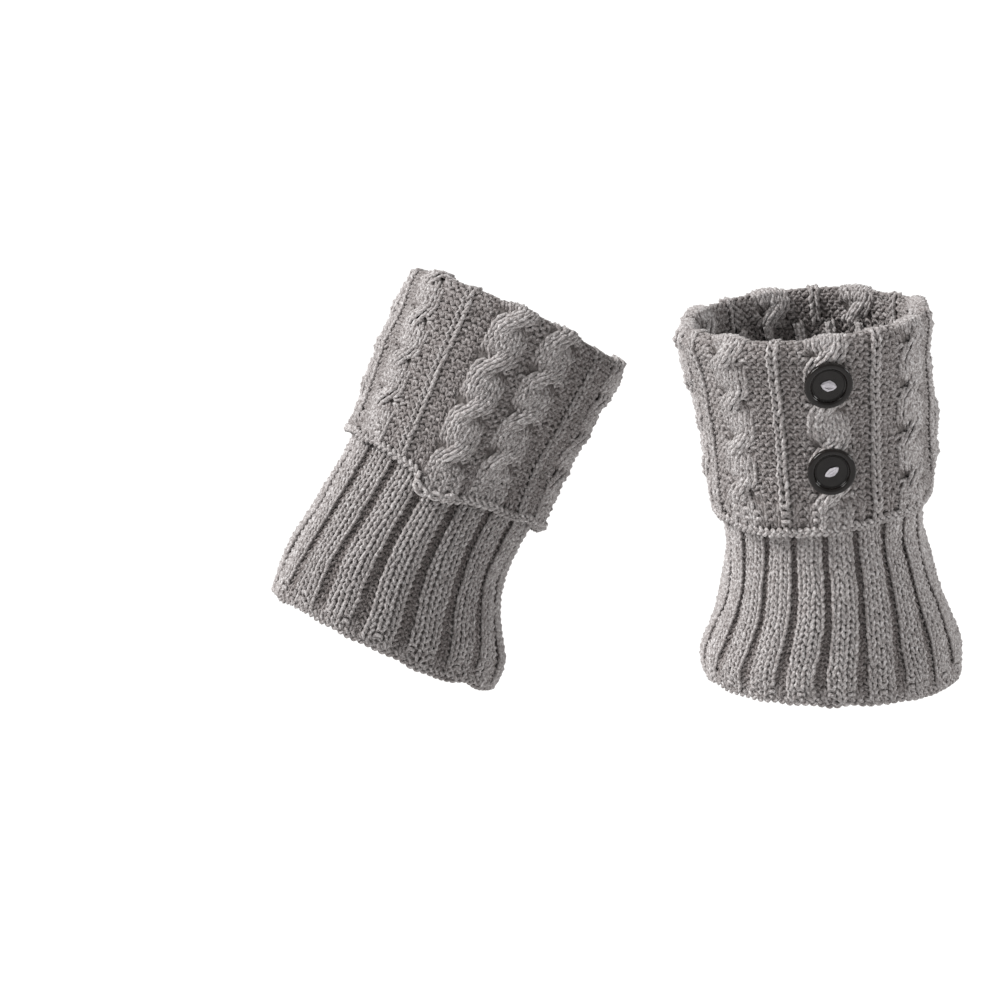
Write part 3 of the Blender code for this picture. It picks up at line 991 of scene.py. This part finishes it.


# --- Materials ---
# Colours of the yarn's fibres, and the painted shade: how dark and warm the yarn is painted by how
# open it is to the light
HEATHER = [
    (0.32, (0.18, 0.158, 0.153)),
    (0.5, (0.39, 0.366, 0.361)),
    (0.68, (0.68, 0.662, 0.660)),
]
SHADOW = [
    (0.0, (0.12, 0.102, 0.096)),
    (0.45, (0.45, 0.421, 0.413)),
    (1.0, (1.0, 1.0, 1.0)),
]


class Nodes:
    """A material's shader and short ways to add nodes to it."""

    def __init__(self, name):
        self.material = bpy.data.materials.new(name)
        self.material.use_nodes = True
        self.tree = self.material.node_tree
        self.shader = self.tree.nodes["Principled BSDF"]

    def add(self, kind, **values):
        """A node with its own settings."""
        node = self.tree.nodes.new(kind)
        for key, value in values.items():
            setattr(node, key, value)
        return node

    def link(self, source, target):
        """One socket into another."""
        self.tree.links.new(source, target)

    def set(self, **values):
        """Constants of the shader, by the names of its sockets with low lines for spaces."""
        for name, value in values.items():
            self.shader.inputs[name.replace("_", " ")].default_value = value

    def noise(self, where, scale, detail=2.0, roughness=0.5):
        """Noise of so many swings to a metre."""
        node = self.add("ShaderNodeTexNoise")
        for name, value in (("Scale", scale), ("Detail", detail), ("Roughness", roughness)):
            node.inputs[name].default_value = value
        self.link(where, node.inputs["Vector"])
        return node.outputs["Fac"]

    def ramp(self, factor, stops):
        """A colour for each value of a factor."""
        node = self.add("ShaderNodeValToRGB")
        ramp = node.color_ramp
        while len(ramp.elements) < len(stops):
            ramp.elements.new(0.5)
        for element, (place, colour) in zip(ramp.elements, stops):
            element.position = place
            element.color = (*colour, 1.0)
        self.link(factor, node.inputs["Fac"])
        return node.outputs["Color"]

    def bump(self, height, strength, distance):
        """Fine relief on the whole surface, its depth in metres."""
        node = self.add("ShaderNodeBump")
        node.inputs["Strength"].default_value = strength
        node.inputs["Distance"].default_value = distance
        self.link(height, node.inputs["Height"])
        self.link(node.outputs["Normal"], self.shader.inputs["Normal"])


def yarn_material():
    """Heathered grey wool: light and dark fibres, soft and slightly hairy, with painted shade where
    it lies deep in the cloth.
    """
    nodes = Nodes("grey_yarn")
    where = nodes.add("ShaderNodeTexCoord").outputs["Object"]
    fibres = nodes.noise(where, 900.0, 3.0, 0.65)
    heather = nodes.ramp(fibres, HEATHER)
    # Painted shade: the fibres' colours darkened and warmed where the yarn lies deep in the cloth
    place = nodes.add("ShaderNodeAttribute", attribute_name="painted_shade").outputs["Fac"]
    shade = nodes.ramp(place, SHADOW)
    mix = nodes.add("ShaderNodeMix", data_type="RGBA", blend_type="MULTIPLY")
    mix.inputs["Factor"].default_value = 1.0
    nodes.link(heather, mix.inputs["A"])
    nodes.link(shade, mix.inputs["B"])
    nodes.link(mix.outputs["Result"], nodes.shader.inputs["Base Color"])
    nodes.set(Roughness=0.9, Specular_IOR_Level=0.15)
    nodes.set(Sheen_Weight=0.35, Sheen_Roughness=0.5, Sheen_Tint=(0.9, 0.88, 0.86, 1.0))
    nodes.bump(nodes.noise(where, 1500.0, 2.0), 0.9, 0.0006)
    return nodes.material


def backing_material():
    """Painted shade: the same wool, painted dark as in its own shadow deep inside the knit."""
    nodes = Nodes("painted_shade_backing")
    where = nodes.add("ShaderNodeTexCoord").outputs["Object"]
    fibres = nodes.noise(where, 700.0, 3.0)
    # Painted shade: dark wool colours, as the shadow seen between the stitches
    colour = nodes.ramp(fibres, [(0.35, (0.09, 0.080, 0.076)), (0.7, (0.20, 0.184, 0.178))])
    nodes.link(colour, nodes.shader.inputs["Base Color"])
    nodes.set(Roughness=1.0, Specular_IOR_Level=0.1)
    nodes.bump(nodes.noise(where, 1200.0, 2.0), 0.8, 0.0006)
    return nodes.material


def plastic_material():
    """Glossy black plastic, faintly uneven from handling."""
    nodes = Nodes("black_button")
    where = nodes.add("ShaderNodeTexCoord").outputs["Object"]
    wear = nodes.noise(where, 260.0, 4.0, 0.6)
    colour = nodes.ramp(wear, [(0.3, (0.007, 0.0055, 0.005)), (0.75, (0.013, 0.011, 0.010))])
    nodes.link(colour, nodes.shader.inputs["Base Color"])
    gloss = nodes.ramp(wear, [(0.3, (0.10, 0.10, 0.10)), (0.75, (0.18, 0.18, 0.18))])
    nodes.link(gloss, nodes.shader.inputs["Roughness"])
    nodes.set(Specular_IOR_Level=0.25)
    nodes.bump(nodes.noise(where, 420.0, 2.0), 0.08, 0.0002)
    return nodes.material


def thread_material():
    """Greyish white sewing thread with its fine twist."""
    nodes = Nodes("white_thread")
    where = nodes.add("ShaderNodeTexCoord").outputs["Object"]
    fibres = nodes.noise(where, 2600.0, 3.0, 0.6)
    colour = nodes.ramp(fibres, [(0.3, (0.36, 0.34, 0.37)), (0.7, (0.72, 0.70, 0.74))])
    nodes.link(colour, nodes.shader.inputs["Base Color"])
    nodes.set(Roughness=0.6, Sheen_Weight=0.2)
    nodes.bump(fibres, 0.6, 0.0003)
    return nodes.material


def floor_material():
    """Plain pale matt."""
    nodes = Nodes("floor")
    nodes.set(Base_Color=(0.86, 0.86, 0.86, 1.0), Roughness=0.9)
    return nodes.material


# --- Stage ---
def direction(azimuth, elevation):
    """Towards a point at an azimuth, in degrees from the front towards +X, and an elevation."""
    (ahead, aside), (level, up) = cos_sin(azimuth), cos_sin(elevation)
    return Vector((aside * level, -ahead * level, up))


def add_camera():
    """The photo's view of the pair."""
    back = direction(VIEW_AZIMUTH, VIEW_ELEVATION)
    right = direction(VIEW_AZIMUTH + 90.0, 0.0)
    up = back.cross(right)
    data = bpy.data.cameras.new("camera")
    data.lens = VIEW_LENS
    camera = add_object("camera", data)
    middle = up * VIEW_UP - right * VIEW_LEFT
    turn = Matrix((right, up, back)).transposed().to_4x4()
    camera.matrix_world = Matrix.Translation(middle + back * VIEW_DISTANCE) @ turn
    bpy.context.scene.camera = camera


def add_light(name, kind, azimuth, elevation, distance, **settings):
    """A light that shines from a direction on the middle of the pair."""
    data = bpy.data.lights.new(name, kind)
    for key, value in settings.items():
        setattr(data, key, value)
    light = add_object(name, data)
    away = direction(azimuth, elevation)
    light.location = PAIR_MIDDLE + away * distance
    light.rotation_euler = away.to_track_quat("Z", "Y").to_euler()


def add_stage():
    """A plain pale floor, an even sky, a broad key from the left and a small light on the right."""
    corners = ((-1.0, -1.0), (1.0, -1.0), (1.0, 1.0), (-1.0, 1.0))
    points = np.array([(FLOOR_HALF * x, FLOOR_HALF * y, FLOOR_LEVEL) for x, y in corners])
    add_piece("floor", points, [(0, 1, 2, 3)], floor_material())
    world = bpy.data.worlds.new("studio")
    world.use_nodes = True
    background = world.node_tree.nodes["Background"]
    background.inputs["Color"].default_value = (1.0, 1.0, 1.0, 1.0)
    background.inputs["Strength"].default_value = WORLD_LIGHT
    bpy.context.scene.world = world
    key = dict(angle=math.radians(30.0), energy=4.4, color=KEY_COLOUR)
    add_light("key", "SUN", VIEW_AZIMUTH - 79.0, 42.0, 1.0, **key)
    side = dict(shape="DISK", size=0.2, energy=1.5)
    add_light("side", "AREA", VIEW_AZIMUTH + 75.0, 20.0, 0.75, **side)
    bpy.context.scene.view_settings.view_transform = "Standard"


def main():
    """The pair of cuffs on the frame, in its studio."""
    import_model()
    materials = {
        "yarn": yarn_material(),
        "backing": backing_material(),
        "plastic": plastic_material(),
        "thread": thread_material(),
    }
    for side, cuff in CUFFS.items():
        add_cuff(side, cuff, materials)
    add_stage()
    add_camera()


main()
